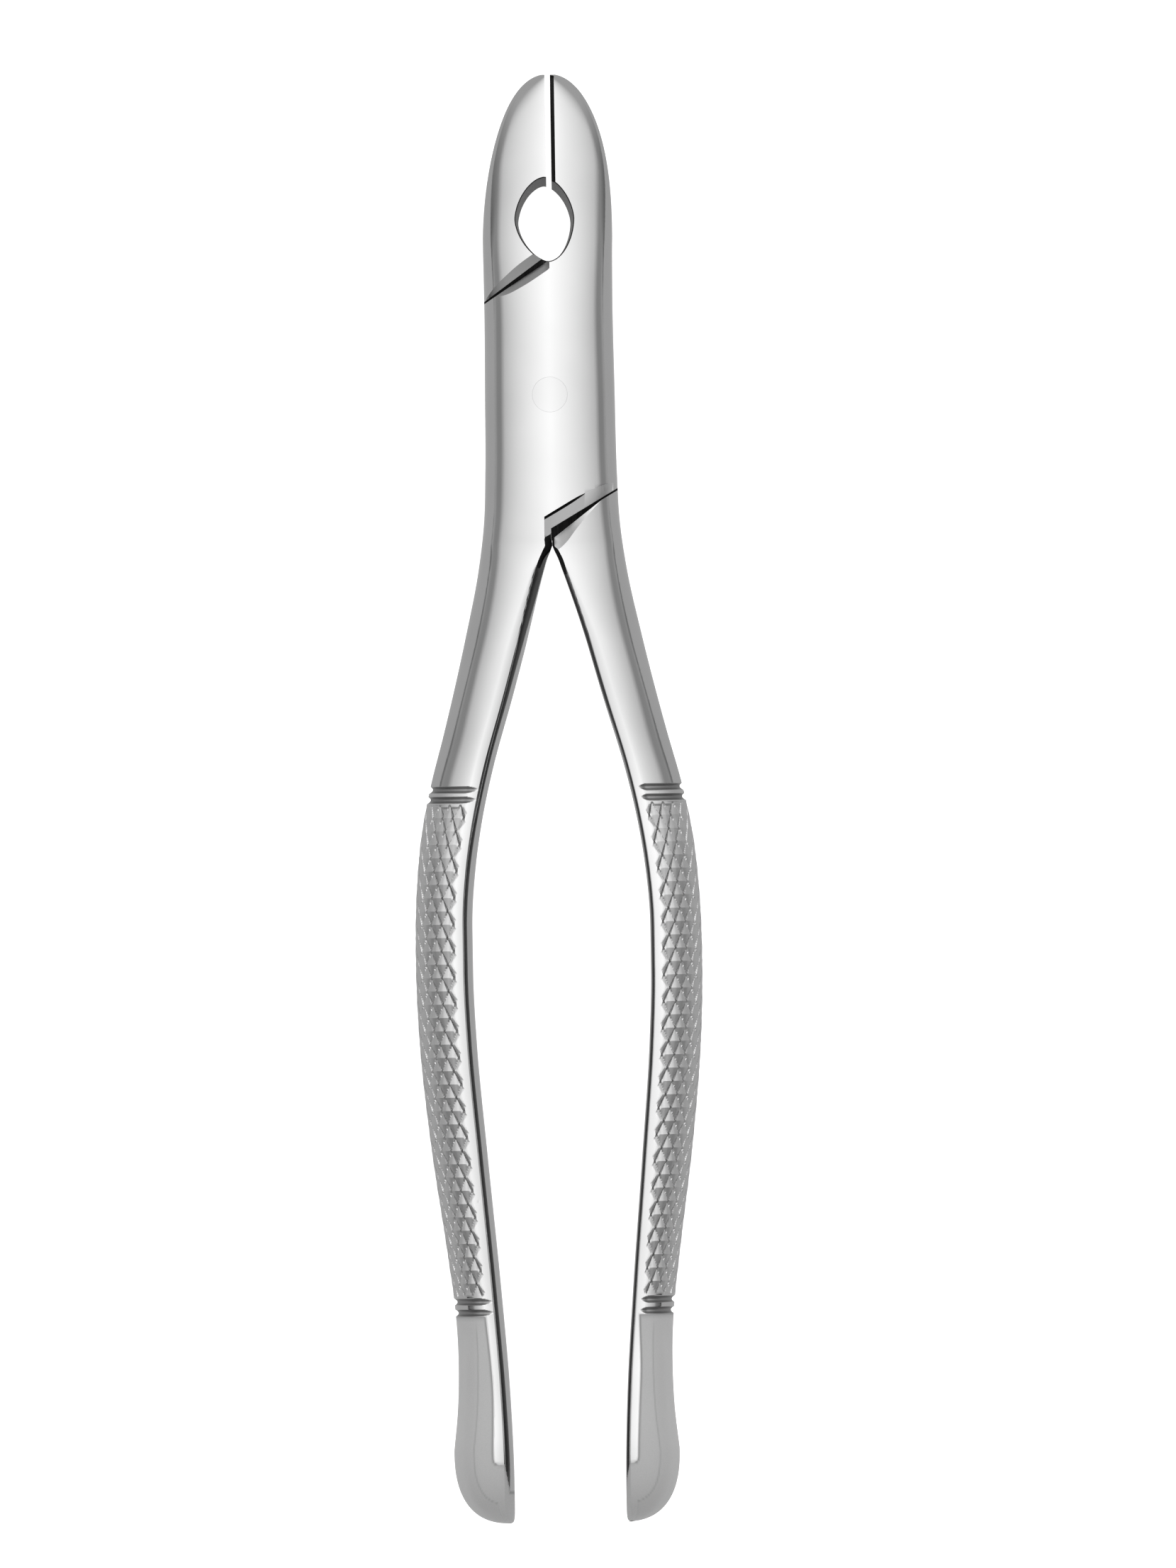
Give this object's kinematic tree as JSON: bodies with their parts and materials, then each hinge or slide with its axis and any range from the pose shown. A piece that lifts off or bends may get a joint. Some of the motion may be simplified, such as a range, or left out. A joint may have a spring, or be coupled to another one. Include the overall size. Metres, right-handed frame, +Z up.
{
  "type": "dental extraction forceps",
  "caption": "Hand forceps for pulling teeth: lapped steel halves turning on a flush pivot rivet, with curved beaks, a crown hole and knurled handles.",
  "frame": {"origin": "middle of the bounding box in plan, on the surface that the closed forceps lie on", "axes": "+Z up, out of the front face as the forceps lie flat; +Y along the forceps from the handle ends to the beak tips; +X across, towards the half whose beak is on the left of the joint"},
  "size_m": [0.0352, 0.178, 0.0133],
  "materials": {
    "polished_steel": "mirror-polished stainless steel with satin, matt-blasted grips and handle ends",
    "rivet_steel": "stainless rivet ground and polished flush with the joint"
  },
  "bodies": {
    "rear_half": {"rear_half": "polished_steel", "pivot_rivet": "rivet_steel"},
    "front_half": {"front_half": "polished_steel"}
  },
  "joints": [
    {"name": "pivot_hinge", "type": "hinge", "parent": "rear_half", "child": "front_half", "pos_m": [0, 0.0496, 0.00828], "axis": [0, 0, -1], "range_deg": [0, 35]}
  ]
}
